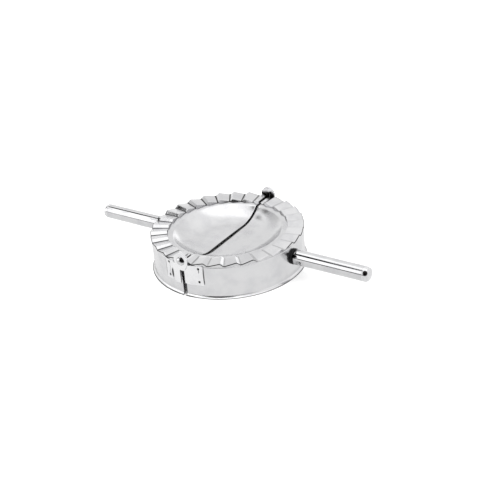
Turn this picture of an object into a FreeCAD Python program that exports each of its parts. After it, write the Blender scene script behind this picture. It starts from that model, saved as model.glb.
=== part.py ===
"""Empanada press: two folding half rounds of stainless sheet with toothed rims and tubular handles.

Millimetres. The origin is the centre of the base, +Z is up, +X runs along the right handle and Y lies along
the hinge. Each piece is made for the right half, or for the front hinge, and its twin is the same piece
turned by half a turn about Z.
"""
import FreeCAD, Part
import math
import os

Vector = FreeCAD.Vector

# Sheet and seam
sheet = 0.5
seam_gap = 1.7
overrun = 1.0

# Skirt
wall_radius = 46.0
skirt_height = 20.3
foot_flare = 1.4
foot_height = 2.2
skirt_bend = 0.55
lip_width = 4.2

# Bowl
bowl_floor_height = 14.3
bowl_floor_radius = 17.0
bowl_edge_round = 3.0
flange_inset = 0.05
flange_show = 3.0

# Toothed ring
ring_overhang = 0.35
ring_width = 10.05
tooth_rise = 1.35
web_inset = 0.35
teeth_per_half = 15
fall_share = 0.2
flat_share = 0.07
dough_gap = 1.9

# Hinge
leaf_thickness = 0.6
leaf_reach = 13.1
leaf_bottom = 8.3
leaf_edge = 1.2
leaf_corner = 0.9
ear_radius = 4.7
ear_drop = 6.1
ear_tangent_angle = 210
ear_wall_clearance = 0.3
ear_gap = 0.2
ear_bend_gap = 0.3
joggle_length = 2.4
weld_place = 10.3
weld_low_inset = 2.3
weld_high_inset = 1.7
weld_dimple_radius = 0.8
weld_dimple_depth = 0.3

# Rivet
rivet_radius = 1.25
rivet_clearance = 0.05
rivet_head_radius = 2.8
rivet_head_height = 1.9
rivet_tail_radius = 1.8
rivet_tail_height = 0.6
rivet_play = 0.05
tail_clearance = 0.4

# Handle
handle_height = 12.9
washer_thickness = 1.2
washer_radius = 4.75
saddle_clearance = 0.05
tube_radius = 4.55
tube_wall = 0.5
tube_length = 45.0
insert_length = 9.0
insert_bore_depth = 7.5
cap_collar = 1.3
cap_round = 2.2
cap_spigot_length = 5.0

# Screw
screw_radius = 1.5
screw_hole_clearance = 0.1
thread_clearance = 0.05
screw_grip = 6.5
screw_head_radius = 2.8
screw_head_height = 1.9
screw_head_round = 0.8
recess_length = 3.2
recess_width = 0.7
recess_depth = 1.0

# Worked out from the sizes above
half_seam = seam_gap / 2
foot_radius = wall_radius + foot_flare
ring_seat = skirt_height + sheet
ring_outer_radius = wall_radius + ring_overhang
ring_inner_radius = ring_outer_radius - ring_width
bowl_mouth_radius = ring_inner_radius - flange_show
rise_slope = tooth_rise / ((ring_inner_radius + ring_outer_radius) / 2)
outer_rise = rise_slope * ring_outer_radius
axis_height = ring_seat + sheet + (outer_rise + dough_gap) / 2
inner_ear_face = wall_radius + ear_wall_clearance
outer_ear_face = inner_ear_face + leaf_thickness + ear_gap
tube_root = wall_radius + washer_thickness
tube_end = tube_root + tube_length
tube_bore = tube_radius - tube_wall
reach = foot_radius + overrun


def line(start, end):
    """A straight edge."""
    return Part.LineSegment(start, end).toShape()


def arc(start, middle, end):
    """A round edge through three points."""
    return Part.Arc(start, middle, end).toShape()


def face_of(edges):
    """A flat face inside a closed loop of edges."""
    return Part.Face(Part.Wire(edges))


def polar(radius, angle, height):
    """A point at a radius and an angle in degrees about Z."""
    turn = math.radians(angle)
    return Vector(radius * math.cos(turn), radius * math.sin(turn), height)


def section_point(centre, radius, angle):
    """A point on a circle in the XZ plane, at an angle in degrees from +X towards +Z."""
    turn = math.radians(angle)
    return Vector(centre.x + radius * math.cos(turn), 0, centre.z + radius * math.sin(turn))


def section_arc(centre, radius, start_angle, end_angle):
    """A round edge in the XZ plane, from one angle to another."""
    middle_angle = (start_angle + end_angle) / 2
    return arc(
        section_point(centre, radius, start_angle),
        section_point(centre, radius, middle_angle),
        section_point(centre, radius, end_angle),
    )


def half_round(section):
    """The right half of a section in the XZ plane turned about Z, cut back to its side of the seam."""
    solid = section.revolve(Vector(0, 0, 0), Vector(0, 0, 1), 180)
    solid.rotate(Vector(0, 0, 0), Vector(0, 0, 1), -90)
    return solid.cut(seam_cutter())


def seam_cutter():
    """The block that clears the seam, as high and as long as the press."""
    height = axis_height + ear_radius + overrun
    corner = Vector(-overrun, -reach, -overrun)
    return Part.makeBox(overrun + half_seam, reach * 2, height + overrun, corner)


def along_x(radius, start, end):
    """A round bar on the handle's axis."""
    return Part.makeCylinder(radius, end - start, Vector(start, 0, handle_height), Vector(1, 0, 0))


def turned(shape):
    """The twin of a piece, half a turn about Z away."""
    twin = shape.copy()
    twin.rotate(Vector(0, 0, 0), Vector(0, 0, 1), 180)
    return twin


def make_skirt():
    """The half round wall, with its flared foot cut flat and its lip bent inwards under the bowl."""
    flare_radius = (foot_height ** 2 + foot_flare ** 2) / (foot_flare * 2)
    flare_centre = Vector(wall_radius + flare_radius, 0, foot_height)
    outer_turn = math.degrees(math.asin(foot_height / flare_radius))
    inside_flare = flare_radius + sheet
    inner_turn = math.degrees(math.asin(foot_height / inside_flare))
    bend_centre = Vector(wall_radius - skirt_bend, 0, skirt_height - skirt_bend)
    inner_bend = skirt_bend - sheet
    lip_end = wall_radius - lip_width

    foot_outside = section_point(flare_centre, flare_radius, 180 + outer_turn)
    foot_inside = section_point(flare_centre, inside_flare, 180 + inner_turn)
    edges = [
        section_arc(flare_centre, flare_radius, 180 + outer_turn, 180),
        line(section_point(flare_centre, flare_radius, 180), section_point(bend_centre, skirt_bend, 0)),
        section_arc(bend_centre, skirt_bend, 0, 90),
        line(section_point(bend_centre, skirt_bend, 90), Vector(lip_end, 0, skirt_height)),
        line(Vector(lip_end, 0, skirt_height), Vector(lip_end, 0, skirt_height - sheet)),
        line(Vector(lip_end, 0, skirt_height - sheet), section_point(bend_centre, inner_bend, 90)),
        section_arc(bend_centre, inner_bend, 90, 0),
        line(section_point(bend_centre, inner_bend, 0), section_point(flare_centre, inside_flare, 180)),
        section_arc(flare_centre, inside_flare, 180, 180 + inner_turn),
        line(foot_inside, foot_outside),
    ]
    skirt = half_round(face_of(edges))
    screw_hole = along_x(screw_radius + screw_hole_clearance, wall_radius - sheet - overrun, tube_root)
    return skirt.cut(screw_hole)


def make_bowl():
    """The half dish: a flat floor, a round side and a flat flange, with a softened edge between them."""
    side_run = bowl_mouth_radius - bowl_floor_radius
    side_drop = ring_seat - bowl_floor_height
    side_radius = (side_run ** 2 + side_drop ** 2) / (side_drop * 2)
    side_centre = Vector(bowl_floor_radius, 0, bowl_floor_height + side_radius)
    edge_level = ring_seat - bowl_edge_round
    centre_drop = side_centre.z - edge_level
    edge_run = math.sqrt((side_radius + bowl_edge_round) ** 2 - centre_drop ** 2)
    edge_centre = Vector(bowl_floor_radius + edge_run, 0, edge_level)
    side_end = -math.degrees(math.atan2(centre_drop, edge_run))
    flange_radius = wall_radius - flange_inset
    under = sheet + side_radius
    inner_round = bowl_edge_round - sheet

    floor_top = Vector(0, 0, bowl_floor_height)
    floor_under = Vector(0, 0, bowl_floor_height - sheet)
    flange_top = Vector(flange_radius, 0, ring_seat)
    flange_under = Vector(flange_radius, 0, skirt_height)
    edges = [
        line(floor_top, section_point(side_centre, side_radius, -90)),
        section_arc(side_centre, side_radius, -90, side_end),
        section_arc(edge_centre, bowl_edge_round, 180 + side_end, 90),
        line(section_point(edge_centre, bowl_edge_round, 90), flange_top),
        line(flange_top, flange_under),
        line(flange_under, section_point(edge_centre, inner_round, 90)),
        section_arc(edge_centre, inner_round, 90, 180 + side_end),
        section_arc(side_centre, under, side_end, -90),
        line(section_point(side_centre, under, -90), floor_under),
        line(floor_under, floor_top),
    ]
    return half_round(face_of(edges))


def tooth_bends():
    """The bends of the sawtooth, as an angle in degrees and a share of the full rise.

    Going counter-clockwise seen from above, each tooth falls quickly and rises slowly. The seam lies half
    way up a slow rise at both ends, so that the two rings mesh when the press is folded shut.
    """
    pitch = 180 / teeth_per_half
    half_fall = pitch * fall_share / 2
    flat = pitch * flat_share
    bends = []
    for tooth in range(-1, teeth_per_half + 1):
        middle = (tooth + 1 / 2) * pitch - 90
        bends.append((middle - half_fall - flat, 1))
        bends.append((middle - half_fall, 1))
        bends.append((middle + half_fall, 0))
        bends.append((middle + half_fall + flat, 0))
    return bends


def along_the_teeth(under, over):
    """A blank that follows the teeth, from one distance over their underside to another."""
    inner_blank = ring_inner_radius - overrun
    outer_blank = ring_outer_radius + overrun
    rows = []
    for angle, share in tooth_bends():
        inner_level = ring_seat + inner_blank * rise_slope * share
        outer_level = ring_seat + outer_blank * rise_slope * share
        rows.append((
            polar(inner_blank, angle, inner_level + under),
            polar(outer_blank, angle, outer_level + under),
            polar(outer_blank, angle, outer_level + over),
            polar(inner_blank, angle, inner_level + over),
        ))
    faces = [polygon(rows[0]), polygon(rows[-1])]
    for row, following in zip(rows[:-1], rows[1:]):
        for side in range(len(row)):
            after = (side + 1) % len(row)
            faces.append(polygon((row[side], row[after], following[after], following[side])))
    blank = Part.Solid(Part.Shell(faces))
    if blank.Volume < 0:
        blank.reverse()
    return blank


def make_toothed_ring():
    """The crimping rim: flat facets that rise from level valleys, which seat on the bowl's flange.

    A web near each edge closes the teeth between the facets and the flange.
    """
    height = sheet + outer_rise + overrun

    def band(inner, outer):
        """A level band round the middle that stands on the flange."""
        outside = Part.makeCylinder(outer, height, Vector(0, 0, ring_seat))
        return outside.cut(Part.makeCylinder(inner, height, Vector(0, 0, ring_seat)))

    inner_web = ring_inner_radius + web_inset
    outer_web = ring_outer_radius - web_inset
    fill = along_the_teeth(-height, sheet / 2)
    webs = [
        fill.common(band(inner_web, inner_web + sheet)),
        fill.common(band(outer_web - sheet, outer_web)),
    ]
    facets = along_the_teeth(0, sheet).common(band(ring_inner_radius, ring_outer_radius))
    ring = facets.fuse(webs).cut(seam_cutter())
    trim = inner_ear_face - tail_clearance
    ring = ring.common(Part.makeBox(reach, trim * 2, height, Vector(0, -trim, ring_seat)))
    notch = rivet_tail_radius + tail_clearance + half_seam
    notch_start = inner_ear_face - rivet_play - rivet_tail_height - tail_clearance
    for side in (-1, 1):
        start = notch_start if side > 0 else -reach
        ring = ring.cut(Part.makeBox(notch, reach - notch_start, height, Vector(0, start, ring_seat)))
    return ring.removeSplitter()


def polygon(points):
    """A flat face through a few points."""
    return Part.Face(Part.makePolygon(list(points) + [points[0]]))


def make_hinge_leaf(ear_face, hole_radius):
    """A front hinge leaf on the right wall, whose ear stands at a given distance from the middle.

    The leaf lies on the round wall, steps out by a joggle and ends in a flat ear round the rivet.
    """
    leaf_top = ring_seat
    bend_start = ear_radius + ear_bend_gap
    bend_end = bend_start + joggle_length
    past_end = leaf_reach + overrun
    outside = wall_radius + leaf_thickness
    start_turn = -90 + math.degrees(math.asin(bend_end / wall_radius))
    end_turn = -90 + math.degrees(math.asin(past_end / wall_radius))
    middle_turn = (start_turn + end_turn) / 2
    ear_back = ear_face + leaf_thickness
    ear_end = ear_radius + overrun

    plan = [
        line(Vector(-ear_end, -ear_face, 0), Vector(bend_start, -ear_face, 0)),
        line(Vector(bend_start, -ear_face, 0), polar(wall_radius, start_turn, 0)),
        arc(
            polar(wall_radius, start_turn, 0),
            polar(wall_radius, middle_turn, 0),
            polar(wall_radius, end_turn, 0),
        ),
        line(polar(wall_radius, end_turn, 0), polar(outside, end_turn, 0)),
        arc(polar(outside, end_turn, 0), polar(outside, middle_turn, 0), polar(outside, start_turn, 0)),
        line(polar(outside, start_turn, 0), Vector(bend_start, -ear_back, 0)),
        line(Vector(bend_start, -ear_back, 0), Vector(-ear_end, -ear_back, 0)),
        line(Vector(-ear_end, -ear_back, 0), Vector(-ear_end, -ear_face, 0)),
    ]
    band = face_of(plan).extrude(Vector(0, 0, axis_height + ear_radius + overrun))

    centre = Vector(0, 0, axis_height)
    meet = -math.degrees(math.asin((axis_height - leaf_top) / ear_radius))
    tangent = section_point(centre, ear_radius, ear_tangent_angle)
    ear_bottom = axis_height - ear_drop
    slope = math.radians(ear_tangent_angle)
    neck_run = (tangent.z - ear_bottom) * math.sin(slope) / math.cos(slope)
    neck = Vector(tangent.x + neck_run, 0, ear_bottom)
    low_corner = Vector(leaf_reach - leaf_corner, 0, leaf_bottom + leaf_corner)
    high_corner = Vector(leaf_reach - leaf_corner, 0, leaf_top - leaf_corner)
    side = [
        line(Vector(leaf_edge, 0, leaf_bottom), section_point(low_corner, leaf_corner, -90)),
        section_arc(low_corner, leaf_corner, -90, 0),
        line(section_point(low_corner, leaf_corner, 0), section_point(high_corner, leaf_corner, 0)),
        section_arc(high_corner, leaf_corner, 0, 90),
        line(section_point(high_corner, leaf_corner, 90), section_point(centre, ear_radius, meet)),
        section_arc(centre, ear_radius, meet, ear_tangent_angle),
        line(tangent, neck),
        line(neck, Vector(leaf_edge, 0, ear_bottom)),
        line(Vector(leaf_edge, 0, ear_bottom), Vector(leaf_edge, 0, leaf_bottom)),
    ]
    leaf = band.common(face_of(side).extrude(Vector(0, -reach, 0)))
    leaf = leaf.cut(Part.makeCylinder(hole_radius, reach, Vector(0, 0, axis_height), Vector(0, -1, 0)))
    weld_turn = -90 + math.degrees(math.asin(weld_place / wall_radius))
    for height in (leaf_bottom + weld_low_inset, leaf_top - weld_high_inset):
        centre = polar(outside + weld_dimple_radius - weld_dimple_depth, weld_turn, height)
        leaf = leaf.cut(Part.makeSphere(weld_dimple_radius, centre))
    return leaf


def make_rivet():
    """The front rivet: a domed head outside, a shank through both ears and a low peened end inside."""
    tail_seat = inner_ear_face - rivet_play
    head_seat = outer_ear_face + leaf_thickness

    def at(distance, radius):
        return Vector(0, -distance, axis_height + radius)

    def dome_middle(seat, height, radius, direction):
        ball = (radius ** 2 + height ** 2) / (height * 2)
        half_turn = math.asin(radius / ball) / 2
        lift = ball * math.cos(half_turn) - (ball - height)
        return at(seat + direction * lift, ball * math.sin(half_turn))

    edges = [
        arc(
            at(tail_seat - rivet_tail_height, 0),
            dome_middle(tail_seat, rivet_tail_height, rivet_tail_radius, -1),
            at(tail_seat, rivet_tail_radius),
        ),
        line(at(tail_seat, rivet_tail_radius), at(tail_seat, rivet_radius)),
        line(at(tail_seat, rivet_radius), at(head_seat, rivet_radius)),
        line(at(head_seat, rivet_radius), at(head_seat, rivet_head_radius)),
        arc(
            at(head_seat, rivet_head_radius),
            dome_middle(head_seat, rivet_head_height, rivet_head_radius, 1),
            at(head_seat + rivet_head_height, 0),
        ),
        line(at(head_seat + rivet_head_height, 0), at(tail_seat - rivet_tail_height, 0)),
    ]
    return face_of(edges).revolve(Vector(0, 0, axis_height), Vector(0, 1, 0), 360)


def make_handle_washer():
    """The black ring between wall and tube, hollowed to sit on the round wall."""
    washer = along_x(washer_radius, wall_radius - overrun, tube_root)
    saddle = Part.makeCylinder(wall_radius + saddle_clearance, axis_height)
    washer = washer.cut(saddle)
    return washer.cut(along_x(screw_radius + screw_hole_clearance, wall_radius - overrun, tube_root))


def make_handle_tube():
    """The handle's thin round tube."""
    tube = along_x(tube_radius, tube_root, tube_end)
    return tube.cut(along_x(tube_bore, tube_root - overrun, tube_end + overrun))


def make_handle_insert():
    """The threaded plug in the root of the tube."""
    plug = along_x(tube_bore, tube_root, tube_root + insert_length)
    bore = along_x(screw_radius + thread_clearance, tube_root - overrun, tube_root + insert_bore_depth)
    return plug.cut(bore)


def make_handle_end_cap():
    """The cap: a collar flush with the tube, a rounded end and a spigot inside the tube."""
    round_centre = Vector(tube_end + cap_collar, 0, tube_radius - cap_round)
    tip = tube_end + cap_collar + cap_round
    spigot = tube_end - cap_spigot_length
    edges = [
        line(Vector(spigot, 0, 0), Vector(spigot, 0, tube_bore)),
        line(Vector(spigot, 0, tube_bore), Vector(tube_end, 0, tube_bore)),
        line(Vector(tube_end, 0, tube_bore), Vector(tube_end, 0, tube_radius)),
        line(Vector(tube_end, 0, tube_radius), section_point(round_centre, cap_round, 90)),
        section_arc(round_centre, cap_round, 90, 0),
        line(section_point(round_centre, cap_round, 0), Vector(tip, 0, 0)),
        line(Vector(tip, 0, 0), Vector(spigot, 0, 0)),
    ]
    cap = face_of(edges).revolve(Vector(0, 0, 0), Vector(1, 0, 0), 360)
    cap.translate(Vector(0, 0, handle_height))
    return cap


def make_handle_screw():
    """The screw from inside the skirt: a rounded head with a cross recess, and a shank into the plug."""
    inside_radius = wall_radius - sheet
    seat = math.sqrt(inside_radius ** 2 - screw_head_radius ** 2)
    top = seat - screw_head_height
    shank_end = tube_root + screw_grip
    round_centre = Vector(top + screw_head_round, 0, screw_head_radius - screw_head_round)
    edges = [
        line(Vector(top, 0, 0), section_point(round_centre, screw_head_round, 180)),
        section_arc(round_centre, screw_head_round, 180, 90),
        line(section_point(round_centre, screw_head_round, 90), Vector(seat, 0, screw_head_radius)),
        line(Vector(seat, 0, screw_head_radius), Vector(seat, 0, screw_radius)),
        line(Vector(seat, 0, screw_radius), Vector(shank_end, 0, screw_radius)),
        line(Vector(shank_end, 0, screw_radius), Vector(shank_end, 0, 0)),
        line(Vector(shank_end, 0, 0), Vector(top, 0, 0)),
    ]
    screw = face_of(edges).revolve(Vector(0, 0, 0), Vector(1, 0, 0), 360)
    for width, height in ((recess_length, recess_width), (recess_width, recess_length)):
        corner = Vector(top - overrun, -width / 2, -height / 2)
        screw = screw.cut(Part.makeBox(overrun + recess_depth, width, height, corner))
    screw.translate(Vector(0, 0, handle_height))
    return screw


def front_and_back_leaves():
    """The four leaves: at each hinge one half has the inner ear, and the other half has the outer ear."""
    inner = make_hinge_leaf(inner_ear_face, rivet_radius + rivet_clearance)
    outer = make_hinge_leaf(outer_ear_face, rivet_radius)
    outer = outer.mirror(Vector(0, 0, 0), Vector(1, 0, 0))
    return {
        "right_front_hinge_leaf": inner,
        "left_front_hinge_leaf": outer,
        "left_back_hinge_leaf": turned(inner),
        "right_back_hinge_leaf": turned(outer),
    }


def main():
    """Makes every piece and writes it to a file of its own."""
    makers = {
        "skirt": make_skirt,
        "bowl": make_bowl,
        "toothed_ring": make_toothed_ring,
        "handle_washer": make_handle_washer,
        "handle_insert": make_handle_insert,
        "handle_tube": make_handle_tube,
        "handle_end_cap": make_handle_end_cap,
        "handle_screw": make_handle_screw,
    }
    pieces = front_and_back_leaves()
    for name, maker in makers.items():
        right = maker()
        pieces["right_" + name] = right
        pieces["left_" + name] = turned(right)
    rivet = make_rivet()
    pieces["front_hinge_rivet"] = rivet
    pieces["back_hinge_rivet"] = turned(rivet)

    os.makedirs("parts", exist_ok=True)
    for name, shape in sorted(pieces.items()):
        solids = shape.Solids
        box = shape.optimalBoundingBox(False)
        print(name, "solids", len(solids), "valid", shape.isValid(), "volume", round(shape.Volume, 2),
              "x", round(box.XMin, 2), round(box.XMax, 2), "y", round(box.YMin, 2), round(box.YMax, 2),
              "z", round(box.ZMin, 2), round(box.ZMax, 2))
        piece = solids[0] if len(solids) == 1 else shape
        piece.exportStep("parts/" + name + ".step")


main()
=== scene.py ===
import logging
import math
from dataclasses import dataclass, field
from enum import Enum
from functools import reduce
from typing import Iterable, Sequence, Union

import bmesh
import bpy
from mathutils import Matrix, Vector


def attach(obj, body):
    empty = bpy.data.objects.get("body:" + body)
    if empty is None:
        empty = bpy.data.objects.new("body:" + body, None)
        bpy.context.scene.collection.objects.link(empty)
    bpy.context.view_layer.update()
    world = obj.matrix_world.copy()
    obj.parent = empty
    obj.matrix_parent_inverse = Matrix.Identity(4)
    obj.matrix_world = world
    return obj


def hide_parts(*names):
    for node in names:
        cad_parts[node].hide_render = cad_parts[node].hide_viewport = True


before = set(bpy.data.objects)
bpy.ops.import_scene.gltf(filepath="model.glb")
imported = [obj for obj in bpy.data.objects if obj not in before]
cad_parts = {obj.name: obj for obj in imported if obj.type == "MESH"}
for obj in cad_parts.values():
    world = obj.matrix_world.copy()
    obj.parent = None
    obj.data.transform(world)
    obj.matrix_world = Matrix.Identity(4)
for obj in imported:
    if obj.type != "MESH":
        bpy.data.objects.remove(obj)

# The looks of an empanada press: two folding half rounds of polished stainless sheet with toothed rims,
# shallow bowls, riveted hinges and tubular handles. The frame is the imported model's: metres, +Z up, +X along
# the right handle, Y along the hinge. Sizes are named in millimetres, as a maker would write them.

LOG = logging.getLogger("empanada_press")
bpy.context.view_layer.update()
MM = 0.001

Profile = Sequence[tuple[float, float]]
Tree = bpy.types.NodeTree
Socket = bpy.types.NodeSocket
SocketValue = Union[Socket, float, int, Sequence[float]]


class Half(Enum):
    """The two halves of the press. Each is the other one turned by half a turn about Z."""

    RIGHT = "right"
    LEFT = "left"

    @property
    def body(self) -> str:
        """The name of the body that the half's pieces ride on."""
        return self.value + "_half"

    @property
    def turn(self) -> Matrix:
        """The turn that takes a piece of the right half to this half."""
        return Matrix.Rotation(0.0 if self is Half.RIGHT else math.pi, 4, "Z")

    def node(self, name: str) -> str:
        """The name of this half's node of a kind."""
        return self.value + "_" + name


class Grain(Enum):
    """The way that the polishing lines run, as how much finer the pattern is along X, Y and Z."""

    ROUND_THE_WALL = (1.0, 1.0, 24.0)
    ALONG_THE_HANDLE = (1.0, 22.0, 22.0)
    ACROSS_THE_SHEET = (20.0, 1.5, 6.0)
    NONE = (1.0, 1.0, 1.0)


def linear(colour: str) -> tuple[float, float, float, float]:
    """Turns an sRGB hex colour into a linear one.

    Args:
        colour: the colour as #RRGGBB.

    Returns:
        Linear red, green, blue and an alpha of 1.
    """
    channels = [int(colour[place:place + 2], 16) / 255 for place in (1, 3, 5)]
    slope, knee, offset, power = 12.92, 0.04045, 0.055, 2.4
    lit = [c / slope if c <= knee else ((c + offset) / (1 + offset)) ** power for c in channels]
    return lit[0], lit[1], lit[2], 1.0


def add_node(
    tree: Tree, kind: str, inputs: dict[Union[str, int], SocketValue] | None = None, **settings: object
) -> bpy.types.Node:
    """Adds a node with its settings, and sets or links its inputs.

    Args:
        tree: the tree that takes the node.
        kind: the node's type.
        inputs: input names or places, each with a value or with the output that feeds it.
        **settings: the node's own properties.

    Returns:
        The new node.
    """
    node = tree.nodes.new(kind)
    for name, value in settings.items():
        setattr(node, name, value)
    for key, value in (inputs or {}).items():
        if isinstance(value, bpy.types.NodeSocket):
            tree.links.new(value, node.inputs[key])
        else:
            node.inputs[key].default_value = value
    return node


def numbers(tree: Tree, operation: str, *values: SocketValue) -> Socket:
    """Adds an operation on numbers and gives its result."""
    return add_node(tree, "ShaderNodeMath", dict(enumerate(values)), operation=operation).outputs[0]


def vectors(tree: Tree, operation: str, *values: SocketValue) -> Socket:
    """Adds an operation on vectors and gives its result, a number for a length or a dot product."""
    node = add_node(tree, "ShaderNodeVectorMath", dict(enumerate(values)), operation=operation)
    return node.outputs["Value" if operation in ("LENGTH", "DOT_PRODUCT") else "Vector"]


def ramp(
    tree: Tree, value: Socket, span: tuple[float, float], levels: tuple[float, float] = (0.0, 1.0),
    smooth: bool = False,
) -> Socket:
    """Adds a ramp that stays level beyond both its ends.

    Args:
        tree: the tree that takes it.
        value: the number that it follows.
        span: the numbers at which it starts and ends.
        levels: what it gives there.
        smooth: whether it bends softly into its ends.

    Returns:
        What the ramp gives.
    """
    inputs = {
        "Value": value, "From Min": span[0], "From Max": span[1], "To Min": levels[0], "To Max": levels[1],
    }
    bend = "SMOOTHSTEP" if smooth else "LINEAR"
    return add_node(tree, "ShaderNodeMapRange", inputs, interpolation_type=bend).outputs["Result"]


def noise(tree: Tree, place: Socket, size_mm: float, detail: float, roughness: float = 0.5) -> Socket:
    """Adds a cloudy pattern of a given size and gives its value, from 0 to 1."""
    inputs = {"Vector": place, "Scale": 1 / (size_mm * MM), "Detail": detail, "Roughness": roughness}
    return add_node(tree, "ShaderNodeTexNoise", inputs).outputs["Fac"]


def mixed(tree: Tree, share: Socket, first: SocketValue, second: SocketValue) -> Socket:
    """Adds a mix of two colours, which is the second one where the share is 1."""
    return add_node(tree, "ShaderNodeMix", {0: share, 6: first, 7: second}, data_type="RGBA").outputs[2]


def relief(tree: Tree, height: Socket, depth_mm: float, under: Socket | None = None) -> Socket:
    """Adds relief to the surface.

    Args:
        tree: the tree that takes it.
        height: the pattern that it follows.
        depth_mm: its depth.
        under: coarser relief that it lies on, if there is any.

    Returns:
        The surface's direction with the relief.
    """
    inputs = {"Height": height, "Strength": 1.0, "Distance": depth_mm * MM}
    if under:
        inputs["Normal"] = under
    return add_node(tree, "ShaderNodeBump", inputs).outputs["Normal"]


def new_material(name: str) -> tuple[bpy.types.Material, Tree, bpy.types.Node, Socket]:
    """Makes a material.

    Args:
        name: the material's name.

    Returns:
        The material, its tree, its shader and its Object coordinates.
    """
    material = bpy.data.materials.new(name)
    material.use_nodes = True
    tree = material.node_tree
    place = add_node(tree, "ShaderNodeTexCoord").outputs["Object"]
    return material, tree, tree.nodes["Principled BSDF"], place


class StainOrShade:
    """Something dark on the metal: a real stain such as a weld spot, painted shade, or a painted dark
    reflection.
    """

    def mask(self, tree: Tree, place: Socket) -> Socket:
        """Adds the darkening's mask.

        Args:
            tree: the material's tree.
            place: the Object coordinates.

        Returns:
            The mask, 0 where the metal is clean and as deep as the stain in its middle.
        """
        raise NotImplementedError


@dataclass(frozen=True)
class Mark(StainOrShade):
    """An ellipsoid of darkening: a real stain such as a burnt weld spot, painted shade such as the dark in a
    crevice, or a painted dark reflection.

    Attributes:
        place_mm: its middle, which lies where X and Y are positive if the mark is mirrored.
        size_mm: how far it reaches along X, Y and Z.
        depth: how dark it is, from 0 to 1.
        mirrored: whether it lies in all four quarters of the press.
        full_share: how much of its reach is full.
    """

    place_mm: tuple[float, float, float]
    size_mm: tuple[float, float, float]
    depth: float = 1.0
    mirrored: bool = True
    full_share: float = 0.6

    def mask(self, tree: Tree, place: Socket) -> Socket:
        """Adds the mask of the ellipsoid.

        Args:
            tree: the material's tree.
            place: the Object coordinates.

        Returns:
            The mask.
        """
        start = vectors(tree, "ABSOLUTE", place) if self.mirrored else place
        away = vectors(tree, "SUBTRACT", start, [value * MM for value in self.place_mm])
        shaped = vectors(tree, "MULTIPLY", away, [1 / (MM * size) for size in self.size_mm])
        far = vectors(tree, "LENGTH", shaped)
        return ramp(tree, far, (1.0, self.full_share), (0.0, self.depth), smooth=True)


@dataclass(frozen=True)
class PaintedShadeBand(StainOrShade):
    """A painted dark level line round the press: painted contact shade along the foot's lower edge, where it
    stands on the worktop.

    Attributes:
        middle_mm: the height of its middle.
        full_mm: how far above and below that it is full.
        faded_mm: how far above and below it has faded out.
    """

    middle_mm: float
    full_mm: float
    faded_mm: float

    def mask(self, tree: Tree, place: Socket) -> Socket:
        """Adds the mask of the line.

        Args:
            tree: the material's tree.
            place: the Object coordinates.

        Returns:
            The mask.
        """
        height = add_node(tree, "ShaderNodeSeparateXYZ", {0: place}).outputs["Z"]
        far = numbers(tree, "ABSOLUTE", numbers(tree, "SUBTRACT", height, self.middle_mm * MM))
        return ramp(tree, far, (self.faded_mm * MM, self.full_mm * MM), smooth=True)


@dataclass(frozen=True)
class PaintedRimEdgeShade(StainOrShade):
    """Painted shade along the outer edge of a rim, standing for the shadow under the overhanging teeth, apart
    from one stretch that is left unshaded.

    Attributes:
        radius_mm: the radius at which the edge starts.
        blend_mm: how far the dark fades in from there.
        unshaded_mm: distance of the unshaded stretch's middle from the X axis, towards the half's first tooth.
        reach_mm: how far to each side the stretch is left unshaded.
        dark_share: how many times as far away it is fully dark again.
    """

    radius_mm: float
    blend_mm: float
    unshaded_mm: float
    reach_mm: float
    dark_share: float = 1.3

    def mask(self, tree: Tree, place: Socket) -> Socket:
        """Adds the mask of the edge.

        Args:
            tree: the material's tree.
            place: the Object coordinates.

        Returns:
            The mask.
        """
        parts = add_node(tree, "ShaderNodeSeparateXYZ", {0: place}).outputs
        level = add_node(tree, "ShaderNodeCombineXYZ", {"X": parts["X"], "Y": parts["Y"]}).outputs[0]
        inner, outer = self.radius_mm * MM, (self.radius_mm + self.blend_mm) * MM
        rim = ramp(tree, vectors(tree, "LENGTH", level), (inner, outer))
        side = numbers(tree, "SIGN", parts["X"])
        along = numbers(tree, "MULTIPLY_ADD", side, parts["Y"], self.unshaded_mm * MM)
        reach = self.reach_mm * MM
        dark = ramp(tree, numbers(tree, "ABSOLUTE", along), (reach, reach * self.dark_share))
        return numbers(tree, "MULTIPLY", rim, dark)


@dataclass(frozen=True)
class PaintedCreaseShade(StainOrShade):
    """Painted shade in the bends at the foot of the teeth, heavier on one side of the press.

    Attributes:
        teeth: how many teeth a half has.
        place: the crease's place as a share of the pitch, counted from the middle of the quick fall.
        full: half the width over which it is full, as a share of the pitch.
        faded: half the width at which it has faded out.
        thin: how dark it is towards +X, where it is full towards -X.
        fade_mm: distance from the middle over which it thins out.
    """

    teeth: int
    place: float
    full: float
    faded: float
    thin: float
    fade_mm: float

    def mask(self, tree: Tree, place: Socket) -> Socket:
        """Adds the mask of the creases.

        Args:
            tree: the material's tree.
            place: the Object coordinates.

        Returns:
            The mask.
        """
        parts = add_node(tree, "ShaderNodeSeparateXYZ", {0: place}).outputs
        turn = numbers(tree, "ARCTAN2", parts["Y"], parts["X"])
        middle = 0.5
        count = numbers(tree, "MULTIPLY_ADD", turn, self.teeth / math.pi, middle - self.place)
        off = numbers(tree, "SUBTRACT", numbers(tree, "FRACT", count), middle)
        line = ramp(tree, numbers(tree, "ABSOLUTE", off), (self.faded, self.full))
        fade = self.fade_mm * MM
        dark = ramp(tree, parts["X"], (fade, -fade), (self.thin, 1.0))
        return numbers(tree, "MULTIPLY", line, dark)


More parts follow.
